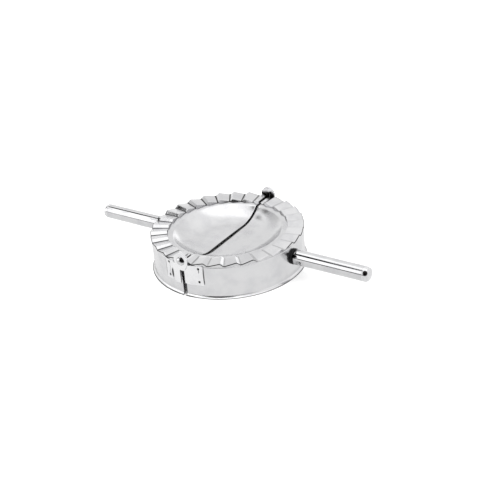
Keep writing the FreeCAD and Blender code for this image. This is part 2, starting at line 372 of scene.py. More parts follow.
@dataclass(frozen=True)
class StainlessFinish:
    """Type 304 stainless steel, cold rolled and polished: a soft mirror with fine polishing lines.

    Attributes:
        name: the material's name.
        colour: the metal's colour where it is clean.
        smear_colour: the metal's colour where handling has dulled it.
        grain: the way that the polishing lines run.
        clean_roughness: roughness where the metal is clean.
        dull_roughness: roughness where handling has dulled it.
        dull_span: how dulled it is, with the lines' share, at the one and at the other.
        smear_mm: size of the dulled patches.
        smear_span: where in the cloudy pattern a patch starts and where it is full.
        line_mm: spacing of the polishing lines, drawn coarser than the real grit so that they show.
        line_depth_mm: depth of the polishing lines.
        line_share: how much the lines add to the dulling.
        wave_mm: length of the faint waves that pressing leaves in the sheet.
        wave_depth_mm: depth of those waves.
        stains_and_shade: what is dark on the metal: real stains, painted shade and painted dark reflections.
        stain_and_shade_colour: the colour of that.
    """

    name: str
    colour: str = "#D3D3D4"
    smear_colour: str = "#C9C9CB"
    grain: Grain = Grain.NONE
    clean_roughness: float = 0.13
    dull_roughness: float = 0.24
    dull_span: tuple[float, float] = (0.1, 1.3)
    smear_mm: float = 9.0
    smear_span: tuple[float, float] = (0.35, 0.7)
    line_mm: float = 0.35
    line_depth_mm: float = 0.0015
    line_share: float = 0.45
    wave_mm: float = 14.0
    wave_depth_mm: float = 0.012
    stains_and_shade: tuple[StainOrShade, ...] = ()
    stain_and_shade_colour: str = "#1B1A1A"

    def stained_and_shaded(self, tree: Tree, place: Socket, colour: Socket) -> Socket:
        """Darkens the metal's colour where it is stained and where shade or dark reflections are painted.

        Args:
            tree: the material's tree.
            place: the Object coordinates.
            colour: the colour of the metal without its stains and painted shade.

        Returns:
            The colour with them.
        """
        masks = [darkening.mask(tree, place) for darkening in self.stains_and_shade]
        darkest = reduce(lambda first, second: numbers(tree, "MAXIMUM", first, second), masks)
        return mixed(tree, darkest, colour, linear(self.stain_and_shade_colour))

    def build(self) -> bpy.types.Material:
        """Makes the material.

        Returns:
            The material.
        """
        material, tree, shader, place = new_material(self.name)
        smears = ramp(tree, noise(tree, place, self.smear_mm, 4.0, 0.55), self.smear_span, smooth=True)
        colour = mixed(tree, smears, linear(self.colour), linear(self.smear_colour))
        if self.stains_and_shade:
            colour = self.stained_and_shaded(tree, place, colour)
        stretched = add_node(tree, "ShaderNodeMapping", {"Vector": place, "Scale": self.grain.value}).outputs[0]
        lines = noise(tree, stretched, self.line_mm * max(self.grain.value), 3.0, 0.6)
        dulled = numbers(tree, "MULTIPLY_ADD", lines, self.line_share, smears)
        roughness = ramp(tree, dulled, self.dull_span, (self.clean_roughness, self.dull_roughness))
        waved = relief(tree, noise(tree, place, self.wave_mm, 1.0), self.wave_depth_mm)
        tree.links.new(colour, shader.inputs["Base Color"])
        tree.links.new(roughness, shader.inputs["Roughness"])
        tree.links.new(relief(tree, lines, self.line_depth_mm, waved), shader.inputs["Normal"])
        shader.inputs["Metallic"].default_value = 1.0
        return material


@dataclass(frozen=True)
class RubberFinish:
    """Moulded nitrile rubber: black, close to matt, with a faint bloom and a fine moulded texture.

    Attributes:
        name: the material's name.
        colour: the rubber's colour.
        bloom_colour: its colour where the bloom lies.
        bloom_mm: size of the bloom's patches.
        roughness: its roughness where it is plain and where the bloom lies.
        texture_mm: spacing of the moulded texture.
        texture_depth_mm: depth of the moulded texture.
        gloss: how strongly it mirrors, where 0.5 is usual.
    """

    name: str = "nitrile_rubber_moulded_black"
    colour: str = "#08080A"
    bloom_colour: str = "#161618"
    bloom_mm: float = 1.6
    roughness: tuple[float, float] = (0.42, 0.6)
    texture_mm: float = 0.2
    texture_depth_mm: float = 0.01
    gloss: float = 0.2

    def build(self) -> bpy.types.Material:
        """Makes the material.

        Returns:
            The material.
        """
        material, tree, shader, place = new_material(self.name)
        bloom = noise(tree, place, self.bloom_mm, 3.0)
        texture = noise(tree, place, self.texture_mm, 2.0)
        colour = mixed(tree, bloom, linear(self.colour), linear(self.bloom_colour))
        tree.links.new(colour, shader.inputs["Base Color"])
        tree.links.new(ramp(tree, bloom, (0.0, 1.0), self.roughness), shader.inputs["Roughness"])
        tree.links.new(relief(tree, texture, self.texture_depth_mm), shader.inputs["Normal"])
        shader.inputs["Specular IOR Level"].default_value = self.gloss
        return material


@dataclass(frozen=True)
class PressSizes:
    """The sizes that several pieces share, in millimetres."""

    sheet: float = 0.5
    half_seam: float = 0.85
    wall_radius: float = 46.0
    skirt_height: float = 20.3
    handle_height: float = 12.9
    tube_radius: float = 4.55
    edge_round: float = 0.09


SHARED = PressSizes()


def arc_points(
    centre: tuple[float, float], radius: float, start: float, end: float, steps: int = 10
) -> list[tuple[float, float]]:
    """Gives points along an arc in a profile.

    Args:
        centre: the arc's centre, as radius and height.
        radius: the arc's radius.
        start: the angle that it starts at, in degrees.
        end: the angle that it ends at, in degrees.
        steps: how many pieces the arc is cut into.

    Returns:
        The points, both ends included.
    """
    turns = [math.radians(start + (end - start) * step / steps) for step in range(steps + 1)]
    return [(centre[0] + radius * math.cos(turn), centre[1] + radius * math.sin(turn)) for turn in turns]


def as_object(mesh: bmesh.types.BMesh, name: str) -> bpy.types.Object:
    """Turns a drawn mesh into an object in the scene.

    Args:
        mesh: the drawn mesh, which is freed.
        name: the object's name.

    Returns:
        The object, at the origin.
    """
    data = bpy.data.meshes.new(name)
    mesh.to_mesh(data)
    mesh.free()
    piece = bpy.data.objects.new(name, data)
    bpy.context.scene.collection.objects.link(piece)
    return piece


def finish_mesh(mesh: bmesh.types.BMesh, name: str, half: Half, merge_mm: float = 0.002) -> bpy.types.Object:
    """Turns a mesh drawn in millimetres for the right half into a clean object on its own half.

    Args:
        mesh: the drawn mesh, which is freed.
        name: the object's name.
        half: the half that it belongs to.
        merge_mm: how near two points are to become one.

    Returns:
        The object, at the origin.
    """
    bmesh.ops.remove_doubles(mesh, verts=mesh.verts, dist=merge_mm)
    bmesh.ops.dissolve_degenerate(mesh, edges=mesh.edges, dist=merge_mm)
    bmesh.ops.recalc_face_normals(mesh, faces=mesh.faces)
    bmesh.ops.transform(mesh, matrix=half.turn @ Matrix.Scale(MM, 4), verts=mesh.verts)
    return as_object(mesh, name)


def bake(piece: bpy.types.Object) -> None:
    """Puts the result of a piece's modifiers into its mesh and removes them.

    Args:
        piece: the piece.
    """
    graph = bpy.context.evaluated_depsgraph_get()
    data = bpy.data.meshes.new_from_object(piece.evaluated_get(graph))
    piece.modifiers.clear()
    piece.data = data


def round_edges(piece: bpy.types.Object, width_mm: float, angle: float = 50.0, segments: int = 2) -> None:
    """Rounds a piece's sharp edges a little, as the deburred edges of sheet are.

    Args:
        piece: the piece.
        width_mm: how wide the rounding is.
        angle: the least turn between two faces, in degrees, that counts as sharp.
        segments: how many faces go round the edge.
    """
    bevel = piece.modifiers.new("deburred_edge", "BEVEL")
    bevel.width = width_mm * MM
    bevel.segments = segments
    bevel.limit_method = "ANGLE"
    bevel.angle_limit = math.radians(angle)
    bevel.use_clamp_overlap = True
    bake(piece)


def smooth(piece: bpy.types.Object, angle: float = 38.0) -> None:
    """Shades a piece smooth, apart from the edges that turn by more than an angle in degrees."""
    piece.data.shade_smooth()
    piece.data.set_sharp_from_angle(angle=math.radians(angle))


def half_round(profile: Profile, half_seam: float, steps: int) -> bmesh.types.BMesh:
    """Turns a closed profile about Z into a right half round whose ends lie flat along the seam.

    Args:
        profile: radius and height of each point, round the profile.
        half_seam: distance of the ends from the middle.
        steps: how many pieces the half turn is cut into.

    Returns:
        The closed mesh, in millimetres.
    """
    mesh = bmesh.new()
    columns = []
    for step in range(steps + 1):
        share = step / steps * 2 - 1
        column = []
        for radius, height in profile:
            reach = max(radius, half_seam)
            turn = share * math.acos(half_seam / reach)
            column.append(mesh.verts.new((reach * math.cos(turn), reach * math.sin(turn), height)))
        columns.append(column)
    for here, following in zip(columns[:-1], columns[1:]):
        for place in range(len(here)):
            after = (place + 1) % len(here)
            mesh.faces.new((here[place], following[place], following[after], here[after]))
    mesh.faces.new(columns[0])
    mesh.faces.new(columns[-1])
    return mesh


def join_rings(mesh: bmesh.types.BMesh, rings: Sequence[Sequence[bmesh.types.BMVert]], closed: bool) -> None:
    """Adds the faces between each ring of points and the next.

    Args:
        mesh: the mesh that takes them.
        rings: the rings, each with as many points.
        closed: whether the last ring is joined to the first.
    """
    following_rings = rings[1:] + rings[:1] if closed else rings[1:]
    for ring, following in zip(rings, following_rings):
        for place in range(len(ring)):
            after = (place + 1) % len(ring)
            mesh.faces.new((ring[place], ring[after], following[after], following[place]))


def full_round(profile: Profile, axis: Matrix, closed: bool, steps: int = 72) -> bmesh.types.BMesh:
    """Turns a profile all the way round an axis.

    Args:
        profile: distance along the axis and radius of each point.
        axis: takes the X axis to the axis that the profile is turned about.
        closed: whether the profile is a closed loop, as for a tube, and not an open line, as for a pin.
        steps: how many pieces the turn is cut into.

    Returns:
        The closed mesh, in millimetres.
    """
    mesh = bmesh.new()
    rings = []
    for along, radius in profile:
        turns = [math.tau * step / steps for step in range(steps)]
        points = [axis @ Vector((along, radius * math.cos(turn), radius * math.sin(turn))) for turn in turns]
        rings.append([mesh.verts.new(point) for point in points])
    join_rings(mesh, rings, closed)
    return mesh


def dress(
    piece: bpy.types.Object, material: bpy.types.Material, half: Half, replaced: Iterable[str]
) -> None:
    """Gives a piece its material, its body and the nodes that it stands for.

    Args:
        piece: the finished piece.
        material: its material.
        half: the half that it rides on.
        replaced: the nodes that it stands for.
    """
    piece.data.materials.clear()
    piece.data.materials.append(material)
    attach(piece, half.body)
    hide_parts(*replaced)
    LOG.info("%s: %d faces on %s", piece.name, len(piece.data.polygons), half.body)


@dataclass
class Shell:
    """The sheet shell of one half: the skirt with its flared foot and lip, and the bowl on it.

    Attributes:
        half: the half that it belongs to.
        foot_flare: how far the foot stands out.
        foot_height: how high the flare starts.
        skirt_bend: outer radius of the bend to the lip.
        lip_width: how far the lip reaches in.
        floor_height: height of the bowl's flat floor.
        floor_radius: radius of the bowl's flat floor.
        mouth_radius: radius of the bowl's mouth.
        mouth_round: radius of the bend between bowl and flange.
        flange_inset: how far the flange's edge stands back from the wall.
        steps: how many pieces each half round is cut into.
        foot_steps: how many pieces the foot's flare is cut into.
        side_steps: how many pieces the bowl's side is cut into.
    """

    half: Half
    foot_flare: float = 1.4
    foot_height: float = 2.2
    skirt_bend: float = 0.55
    lip_width: float = 4.2
    floor_height: float = 14.3
    floor_radius: float = 17.0
    mouth_radius: float = 33.3
    mouth_round: float = 3.0
    flange_inset: float = 0.05
    steps: int = 180
    foot_steps: int = 14
    side_steps: int = 28

    def skirt_profile(self) -> Profile:
        """Draws the skirt's section, from the foot's outer edge up and back down inside.

        Returns:
            Radius and height of each point.
        """
        wall, sheet, top = SHARED.wall_radius, SHARED.sheet, SHARED.skirt_height
        flare = (self.foot_height ** 2 + self.foot_flare ** 2) / (self.foot_flare * 2)
        centre = (wall + flare, self.foot_height)
        outer = math.degrees(math.asin(self.foot_height / flare))
        inner = math.degrees(math.asin(self.foot_height / (flare + sheet)))
        bend = (wall - self.skirt_bend, top - self.skirt_bend)
        lip = wall - self.lip_width
        points = arc_points(centre, flare, 180 + outer, 180, self.foot_steps)
        points += arc_points(bend, self.skirt_bend, 0, 90)
        points += [(lip, top), (lip, top - sheet)]
        points += arc_points(bend, self.skirt_bend - sheet, 90, 0)
        points += arc_points(centre, flare + sheet, 180, 180 + inner, self.foot_steps)
        return points

    def bowl_profile(self) -> Profile:
        """Draws the bowl's section, from the middle out along the top and back underneath.

        Returns:
            Radius and height of each point.
        """
        sheet, under = SHARED.sheet, SHARED.skirt_height
        top = under + sheet
        run = self.mouth_radius - self.floor_radius
        drop = top - self.floor_height
        side = (run ** 2 + drop ** 2) / (drop * 2)
        side_centre = (self.floor_radius, self.floor_height + side)
        level = top - self.mouth_round
        centre_drop = side_centre[1] - level
        edge_run = math.sqrt((side + self.mouth_round) ** 2 - centre_drop ** 2)
        edge_centre = (self.floor_radius + edge_run, level)
        meet = -math.degrees(math.atan2(centre_drop, edge_run))
        flange = SHARED.wall_radius - self.flange_inset
        points = [(SHARED.half_seam, self.floor_height)]
        points += arc_points(side_centre, side, -90, meet, self.side_steps)
        points += arc_points(edge_centre, self.mouth_round, 180 + meet, 90)
        points += [(flange, top), (flange, under)]
        points += arc_points(edge_centre, self.mouth_round - sheet, 90, 180 + meet)
        points += arc_points(side_centre, side + sheet, meet, -90, self.side_steps)
        points += [(SHARED.half_seam, self.floor_height - sheet)]
        return points

    def build(self, wall_metal: bpy.types.Material, bowl_metal: bpy.types.Material) -> None:
        """Makes the skirt and the bowl and dresses them.

        Args:
            wall_metal: the skirt's material.
            bowl_metal: the bowl's material.
        """
        parts = (("skirt", self.skirt_profile(), wall_metal), ("bowl", self.bowl_profile(), bowl_metal))
        for name, profile, metal in parts:
            mesh = half_round(profile, SHARED.half_seam, self.steps)
            piece = finish_mesh(mesh, self.half.node("polished_" + name), self.half)
            round_edges(piece, SHARED.edge_round)
            smooth(piece)
            dress(piece, metal, self.half, [self.half.node(name)])


@dataclass
class ToothedRim:
    """The crimping rim of one half: one sawtooth, drawn once and set round the half by geometry nodes.

    Attributes:
        half: the half that it belongs to.
        inner_radius: radius of the rim's inner edge.
        outer_radius: radius of the rim's outer edge.
        tooth_rise: how high a tooth stands at the middle of the rim.
        teeth: how many teeth the half has.
        fall_share: share of the pitch that the quick fall takes.
        flat_share: share of the pitch that a level crest or valley takes.
        bend_share: share of the rise over which a bend is rounded.
        web_inset: distance from each edge to the web that closes the teeth there.
        web_bite: how far a web reaches into the flange, so that it never ends in a knife edge.
        edge_share: radius of the rounded edges as a share of the sheet.
        edge_turn: how far round under the edge the rounding goes, in degrees past level.
        edge_steps: how many pieces such a rounding is cut into.
        columns: how many pieces a tooth is cut into round the rim.
        rows: how many pieces it is cut into across the rim.
        trim: distance from the middle at which the rim is cut off beside the hinge.
        notch_start: distance from the middle at which the notch for the rivet starts.
        notch: half the notch's width.
        join_mm: how near the ends of two teeth are to become one.
        cut_mm: how near a point is to a cut to lie on it.
        smooth_angle: the turn up to which two faces are shaded as one, in degrees.
    """

    half: Half
    inner_radius: float = 36.3
    outer_radius: float = 46.35
    tooth_rise: float = 1.35
    teeth: int = 15
    fall_share: float = 0.2
    flat_share: float = 0.07
    bend_share: float = 0.07
    web_inset: float = 0.35
    web_bite: float = 0.05
    edge_share: float = 0.3
    edge_turn: float = 70.0
    edge_steps: int = 3
    columns: int = 48
    rows: int = 5
    trim: float = 45.9
    notch_start: float = 45.2
    notch: float = 3.05
    join_mm: float = 0.01
    cut_mm: float = 0.0005
    smooth_angle: float = 42.0

    def height_share(self, share: float) -> float:
        """The height of the tooth as a share of its rise, from 1 at the crest to 0 in the valley.

        Args:
            share: place on the tooth as a share of the pitch, from -0.5 to 0.5, with the fall at 0.

        Returns:
            The share of the rise, with rounded bends.
        """
        away = abs(share)
        bend = self.fall_share / 2 + self.flat_share
        lines = (away / self.fall_share, 0.5, 0.5 * (0.5 - away) / (0.5 - bend))
        rounded = min(lines)
        softest = sorted(lines)[1] - rounded
        if softest < self.bend_share:
            rounded -= (self.bend_share - softest) ** 2 / (self.bend_share * 4)
        return 0.5 - math.copysign(max(rounded, 0.0), share)

    def section(self, lift: float) -> Profile:
        """Gives the rim's section, with rounded edges and a web near each edge.

        Args:
            lift: how high the underside stands over the flange, as a share of the radius.

        Returns:
            Radius and height of each point, counted from the flange.
        """
        corner, turn, steps = SHARED.sheet * self.edge_share, self.edge_turn, self.edge_steps
        inner, outer, top = self.inner_radius, self.outer_radius, SHARED.sheet
        inside, outside = inner + self.web_inset, outer - self.web_inset
        shares = [row / self.rows for row in range(1, self.rows)]
        across = [inner + (outer - inner) * share for share in shares]
        points = [(inside, 0.0)]
        points += arc_points((inner + corner, corner), corner, 180 + turn, 180, steps)
        points += arc_points((inner + corner, top - corner), corner, 180, 90, steps)
        points += [(radius, top) for radius in across]
        points += arc_points((outer - corner, top - corner), corner, 90, 0, steps)
        points += arc_points((outer - corner, corner), corner, 0, -turn, steps)
        points += [(outside, 0.0)]
        low = -self.web_bite
        inner_web, outer_web = inside + SHARED.sheet, outside - SHARED.sheet
        raised = [(radius, height + radius * lift) for radius, height in points]
        raised += [(outside, low), (outer_web, low), (outer_web, outer_web * lift)]
        raised += [(radius, radius * lift) for radius in reversed(across)]
        raised += [(inner_web, inner_web * lift), (inner_web, low), (inside, low)]
        return raised

    def tooth(self) -> bpy.types.Object:
        """Draws one tooth of the rim, open at both ends, where its neighbours join it.

        Returns:
            The tooth, in millimetres.
        """
        mesh = bmesh.new()
        pitch = math.pi / self.teeth
        slope = self.tooth_rise / ((self.inner_radius + self.outer_radius) / 2)
        seat = SHARED.skirt_height + SHARED.sheet
        columns = []
        for step in range(self.columns + 1):
            share = step / self.columns - 0.5
            turn = share * pitch
            ring = [
                mesh.verts.new((radius * math.cos(turn), radius * math.sin(turn), seat + height))
                for radius, height in self.section(self.height_share(share) * slope)
            ]
            columns.append(ring)
        join_rings(mesh, columns, closed=False)
        return as_object(mesh, "rim_tooth")

    def tree(self) -> bpy.types.NodeTree:
        """Builds the geometry node tree that sets teeth round a half turn and joins them.

        Returns:
            The tree.
        """
        tree = bpy.data.node_groups.new("teeth_round_the_rim", "GeometryNodeTree")
        inputs = {
            "Geometry": "Geometry", "Tooth": "Object", "Teeth": "Int", "Pitch": "Float", "First Turn": "Float",
            "Join Distance": "Float", "Material": "Material",
        }
        for name, kind in inputs.items():
            tree.interface.new_socket(name, in_out="INPUT", socket_type="NodeSocket" + kind)
        tree.interface.new_socket("Geometry", in_out="OUTPUT", socket_type="NodeSocketGeometry")
        given = add_node(tree, "NodeGroupInput").outputs
        points = add_node(tree, "GeometryNodePoints", {"Count": given["Teeth"]}).outputs[0]
        tooth = add_node(tree, "GeometryNodeObjectInfo", {"Object": given["Tooth"]}).outputs["Geometry"]
        index = add_node(tree, "GeometryNodeInputIndex").outputs[0]
        turn = numbers(tree, "MULTIPLY_ADD", index, given["Pitch"], given["First Turn"])
        rotation = add_node(tree, "ShaderNodeCombineXYZ", {"Z": turn}).outputs[0]
        placed = add_node(
            tree, "GeometryNodeInstanceOnPoints",
            {"Points": points, "Instance": tooth, "Rotation": rotation},
        ).outputs[0]
        real = add_node(tree, "GeometryNodeRealizeInstances", {0: placed}).outputs[0]
        joined = add_node(
            tree, "GeometryNodeMergeByDistance", {"Geometry": real, "Distance": given["Join Distance"]}
        ).outputs[0]
        dressed = add_node(
            tree, "GeometryNodeSetMaterial", {"Geometry": joined, "Material": given["Material"]}
        ).outputs[0]
        add_node(tree, "NodeGroupOutput", {0: dressed})
        return tree

    def round_of_teeth(self, metal: bpy.types.Material) -> bmesh.types.BMesh:
        """Sets the teeth round the right half.

        Args:
            metal: the rim's material.

        Returns:
            The joined mesh, still open at the seam.
        """
        tooth = self.tooth()
        carrier = as_object(bmesh.new(), "rim_carrier")
        tree = self.tree()
        pitch = math.pi / self.teeth
        values = {
            "Tooth": tooth, "Teeth": self.teeth, "Pitch": pitch, "First Turn": (pitch - math.pi) / 2,
            "Join Distance": self.join_mm, "Material": metal,
        }
        modifier = carrier.modifiers.new("teeth_round_the_rim", "NODES")
        modifier.node_group = tree
        for item in tree.interface.items_tree:
            if item.in_out == "INPUT" and item.name in values:
                modifier[item.identifier] = values[item.name]
        bpy.context.view_layer.update()
        graph = bpy.context.evaluated_depsgraph_get()
        joined = bpy.data.meshes.new_from_object(carrier.evaluated_get(graph))
        carrier.modifiers.clear()
        mesh = bmesh.new()
        mesh.from_mesh(joined)
        for spare in (carrier, tooth):
            bpy.data.objects.remove(spare)
        bpy.data.meshes.remove(joined)
        bpy.data.node_groups.remove(tree)
        return mesh

    def cut(self, mesh: bmesh.types.BMesh, point: Vector, normal: Vector) -> None:
        """Cuts a mesh off at a plane and closes it there.

        Args:
            mesh: the mesh.
            point: a point on the plane.
            normal: the way to the side that goes.
        """
        parts = mesh.verts[:] + mesh.edges[:] + mesh.faces[:]
        made = bmesh.ops.bisect_plane(
            mesh, geom=parts, plane_co=point, plane_no=normal, clear_outer=True, dist=self.cut_mm
        )
        edges = [part for part in made["geom_cut"] if isinstance(part, bmesh.types.BMEdge)]
        bmesh.ops.contextual_create(mesh, geom=edges)

    def build(self, metal: bpy.types.Material) -> None:
        """Makes the rim, cuts it at the seam and beside the hinges, and dresses it.

        Args:
            metal: the rim's material.
        """
        mesh = self.round_of_teeth(metal)
        self.cut(mesh, Vector((SHARED.half_seam, 0, 0)), Vector((-1, 0, 0)))
        for side in (-1, 1):
            self.cut(mesh, Vector((0, side * self.trim, 0)), Vector((0, side, 0)))
        piece = finish_mesh(mesh, self.half.node("stamped_toothed_rim"), self.half)
        for side in (-1, 1):
            self.notch_out(piece, side)
        smooth(piece, self.smooth_angle)
        dress(piece, metal, self.half, [self.half.node("toothed_ring")])

    def notch_out(self, piece: bpy.types.Object, side: int) -> None:
        """Cuts the notch for the rivet's inner end.

        Args:
            piece: the rim.
            side: 1 for the notch at +Y of the right half, -1 for the one at -Y.
        """
        block = bmesh.new()
        bmesh.ops.create_cube(block, size=1)
        depth = self.outer_radius - self.notch_start
        grow = Matrix.Diagonal((self.notch * 2, depth * 2, self.outer_radius, 1))
        place = Matrix.Translation((0, side * (self.notch_start + depth), SHARED.skirt_height))
        bmesh.ops.transform(block, matrix=place @ grow, verts=block.verts)
        cutter = finish_mesh(block, "rivet_notch", self.half)
        notched = piece.modifiers.new("rivet_notch", "BOOLEAN")
        notched.operation = "DIFFERENCE"
        notched.solver = "EXACT"
        notched.object = cutter
        bake(piece)
        bpy.data.objects.remove(cutter)


@dataclass
class Rivet:
    """A hinge rivet: a polished dome outside, a shank through both ears and a low peened end inside.

    Attributes:
        half: the half that it is fixed to.
        node: the node that it stands for.
        axis_height: height of the hinge's axis.
        tail_seat: distance of the inner end's seat from the middle.
        head_seat: distance of the head's seat from the middle.
        shank_radius: radius of the shank.
        head_radius: radius of the head.
        head_height: height of the head.
        tail_radius: radius of the inner end.
        tail_height: height of the inner end.
        dome_steps: how many pieces a dome is cut into from its edge to its top.
    """

    half: Half
    node: str
    axis_height: float = 23.007
    tail_seat: float = 46.25
    head_seat: float = 47.7
    shank_radius: float = 1.25
    head_radius: float = 2.8
    head_height: float = 1.9
    tail_radius: float = 1.8
    tail_height: float = 0.6
    dome_steps: int = 14

    def dome(self, seat: float, radius: float, height: float, way: int) -> Profile:
        """Gives points over a dome, from its edge to its top.

        Args:
            seat: distance of its edge from the middle.
            radius: the radius of its edge.
            height: its height.
            way: 1 for a dome that stands away from the middle, -1 for one towards it.

        Returns:
            Distance from the middle and radius of each point.
        """
        ball = (radius ** 2 + height ** 2) / (height * 2)
        edge = math.asin(min(radius / ball, 1.0))
        low = height - ball
        turns = [edge * (1 - step / self.dome_steps) for step in range(self.dome_steps + 1)]
        return [(seat + way * (ball * math.cos(turn) + low), ball * math.sin(turn)) for turn in turns]

    def build(self, metal: bpy.types.Material) -> None:
        """Makes the rivet and dresses it.

        Args:
            metal: the rivet's material.
        """
        tail = self.dome(self.tail_seat, self.tail_radius, self.tail_height, -1)
        head = self.dome(self.head_seat, self.head_radius, self.head_height, 1)
        shank = [(self.tail_seat, self.shank_radius), (self.head_seat, self.shank_radius)]
        profile = tail[::-1] + shank + head
        axis = Matrix.Translation((0, 0, self.axis_height)) @ Matrix.Rotation(-math.pi / 2, 4, "Z")
        mesh = full_round(profile, axis, closed=False)
        piece = finish_mesh(mesh, "polished_" + self.node, self.half)
        round_edges(piece, SHARED.edge_round)
        smooth(piece)
        dress(piece, metal, self.half, [self.node])


@dataclass
class HingeLeaf:
    """A hinge leaf, with the deburred edges of its blank.

    Attributes:
        half: the half that it is welded to.
        name: the leaf's kind, which its node is named for.
        merge_mm: how near two points of the solid's copy are to become one.
        flat_angle: the turn up to which two of its faces are one, in degrees.
        smooth_angle: the turn up to which two faces are shaded as one, in degrees.
    """

    half: Half
    name: str
    merge_mm: float = 0.001
    flat_angle: float = 0.5
    smooth_angle: float = 30.0

    def build(self, metal: bpy.types.Material) -> None:
        """Copies the leaf's solid, rounds its edges and dresses it.

        Args:
            metal: the leaf's material.
        """
        node = self.half.node(self.name)
        mesh = bmesh.new()
        mesh.from_mesh(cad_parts[node].data)
        bmesh.ops.remove_doubles(mesh, verts=mesh.verts, dist=self.merge_mm * MM)
        flat = math.radians(self.flat_angle)
        bmesh.ops.dissolve_limit(mesh, angle_limit=flat, verts=mesh.verts, edges=mesh.edges)
        piece = as_object(mesh, "pressed_" + node)
        round_edges(piece, SHARED.edge_round)
        smooth(piece, self.smooth_angle)
        dress(piece, metal, self.half, [node])


@dataclass
class Handle:
    """A handle: a thin tube on a black rubber washer, with a rounded cap in its end.

    Attributes:
        half: the half that it is screwed to.
        washer_thickness: thickness of the washer where it is thinnest.
        washer_radius: radius of the washer.
        saddle_clearance: gap between the washer's hollow and the wall.
        washer_hole: radius of the washer's hole.
        tube_wall: thickness of the tube's wall.
        tube_length: length of the tube.
        cap_collar: length of the cap's straight part.
        cap_round: radius of the cap's rounded edge.
        spigot: length of the cap's part inside the tube.
        groove: width and depth of the fine groove where cap and tube meet.
        steps: how many pieces a turn is cut into.
        cap_steps: how many pieces the cap's rounded edge is cut into.
    """

    half: Half
    washer_thickness: float = 1.2
    washer_radius: float = 4.75
    saddle_clearance: float = 0.05
    washer_hole: float = 1.6
    tube_wall: float = 0.5
    tube_length: float = 45.0
    cap_collar: float = 1.3
    cap_round: float = 2.2
    spigot: float = 5.0
    groove: float = 0.12
    steps: int = 96
    cap_steps: int = 16

    @property
    def axis(self) -> Matrix:
        """The handle's axis, as a move of the X axis."""
        return Matrix.Translation((0, 0, SHARED.handle_height))

    @property
    def root(self) -> float:
        """Where the tube starts."""
        return SHARED.wall_radius + self.washer_thickness

    @property
    def end(self) -> float:
        """Where the tube ends."""
        return self.root + self.tube_length

    def tube(self) -> bmesh.types.BMesh:
        """Draws the tube, with its rims rounded.

        Returns:
            The mesh, in millimetres.
        """
        outside, bore, rim = SHARED.tube_radius, SHARED.tube_radius - self.tube_wall, self.groove
        profile = [(self.root, bore), (self.root, outside - rim)]
        profile += [(self.root + rim, outside), (self.end - rim, outside)]
        profile += [(self.end, outside - rim), (self.end, bore)]
        return full_round(profile, self.axis, closed=True, steps=self.steps)

    def cap(self) -> bmesh.types.BMesh:
        """Draws the cap, from its spigot to the middle of its end.

        Returns:
            The mesh, in millimetres.
        """
        outside, bore = SHARED.tube_radius, SHARED.tube_radius - self.tube_wall
        inside = self.end - self.spigot
        centre = (self.end + self.cap_collar, outside - self.cap_round)
        profile = [(inside, 0.0), (inside, bore - self.groove), (inside + self.groove, bore)]
        profile += [(self.end, bore), (self.end, outside - self.groove), (self.end + self.groove, outside)]
        profile += arc_points(centre, self.cap_round, 90, 0, self.cap_steps)
        profile += [(self.end + self.cap_collar + self.cap_round, 0.0)]
        return full_round(profile, self.axis, closed=False, steps=self.steps)

    def washer(self) -> bmesh.types.BMesh:
        """Draws the washer, hollowed on one side to sit on the round wall.

        Returns:
            The mesh, in millimetres.
        """
        mesh = bmesh.new()
        edge = self.groove
        hollow = SHARED.wall_radius + self.saddle_clearance
        section = [
            (0.0, self.washer_hole), (0.0, self.washer_radius - edge), (edge, self.washer_radius),
            (1 - edge, self.washer_radius), (1.0, self.washer_radius - edge), (1.0, self.washer_hole),
        ]
        rings = []
        for share, radius in section:
            ring = []
            for step in range(self.steps):
                turn = math.tau * step / self.steps
                across, up = radius * math.cos(turn), radius * math.sin(turn)
                wall = math.sqrt(hollow ** 2 - across ** 2)
                along = wall + (self.root - wall) * share
                ring.append(mesh.verts.new((along, across, SHARED.handle_height + up)))
            rings.append(ring)
        join_rings(mesh, rings, closed=True)
        return mesh

    def build(
        self, tube_metal: bpy.types.Material, cap_metal: bpy.types.Material, rubber: bpy.types.Material
    ) -> None:
        """Makes the tube, the cap and the washer and dresses them.

        Args:
            tube_metal: the tube's material.
            cap_metal: the cap's material.
            rubber: the washer's material.
        """
        parts = (
            ("handle_tube", self.tube(), tube_metal, "handle_steel"),
            ("handle_end_cap", self.cap(), cap_metal, "handle_steel"),
            ("handle_washer", self.washer(), rubber, "black_rubber"),
        )
        for name, mesh, material, slot in parts:
            piece = finish_mesh(mesh, self.half.node("finished_" + name), self.half)
            smooth(piece)
            dress(piece, material, self.half, [self.half.node(name)])


@dataclass(frozen=True)
class Card:
    """A soft patch of light or dark round the studio, seen only in the metal's reflections.

    Attributes:
        towards: the direction that it lies in.
        inner: angle from its middle, in degrees, up to which it is full.
        outer: angle at which it has faded out.
        level: its brightness.
        squeeze: how many times narrower it is along each axis.
    """

    towards: tuple[float, float, float]
    inner: float
    outer: float
    level: float
    squeeze: tuple[float, float, float] = (1.0, 1.0, 1.0)


